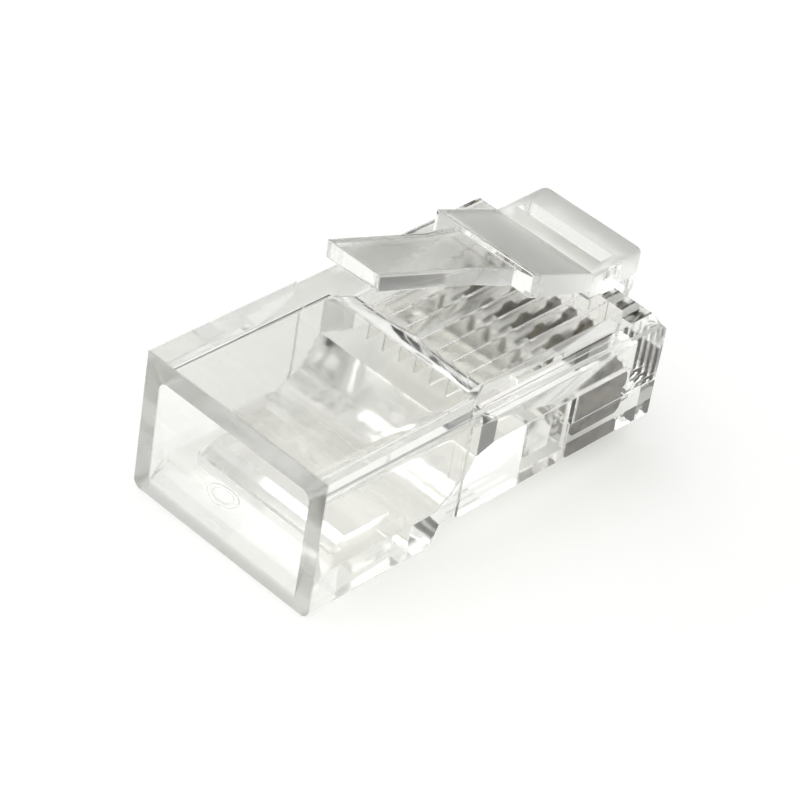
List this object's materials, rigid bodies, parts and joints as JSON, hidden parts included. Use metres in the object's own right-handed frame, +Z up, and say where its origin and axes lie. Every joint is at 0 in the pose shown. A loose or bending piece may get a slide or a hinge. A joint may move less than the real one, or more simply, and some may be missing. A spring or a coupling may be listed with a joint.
{
  "type": "rj45 modular plug",
  "caption": "Clear modular network plug for round cable, unterminated, with an open cable entry, gold contact blades and a sprung release latch.",
  "frame": {"origin": "middle of the plug's footprint, at the height of the rear block's underside", "axes": "+X from the cable entry towards the nose, +Y across the width, +Z up, towards the latch"},
  "size_m": [0.0228, 0.0116, 0.0137],
  "materials": {
    "clear_polycarbonate": "polished moulded",
    "gold_plated_contact": "thin gold plating over phosphor bronze"
  },
  "bodies": {
    "plug": {"housing": "clear_polycarbonate", "contact_1": "gold_plated_contact", "contact_2": "gold_plated_contact", "contact_3": "gold_plated_contact", "contact_4": "gold_plated_contact", "contact_5": "gold_plated_contact", "contact_6": "gold_plated_contact", "contact_7": "gold_plated_contact", "contact_8": "gold_plated_contact"},
    "latch": {"latch": "clear_polycarbonate"}
  },
  "joints": [
    {"name": "latch_hinge", "type": "hinge", "parent": "plug", "child": "latch", "pos_m": [0.00787, 0, 0.008], "axis": [0, -1, 0], "range_deg": [0, 18], "stiffness_Nm_per_rad": 0.25}
  ]
}
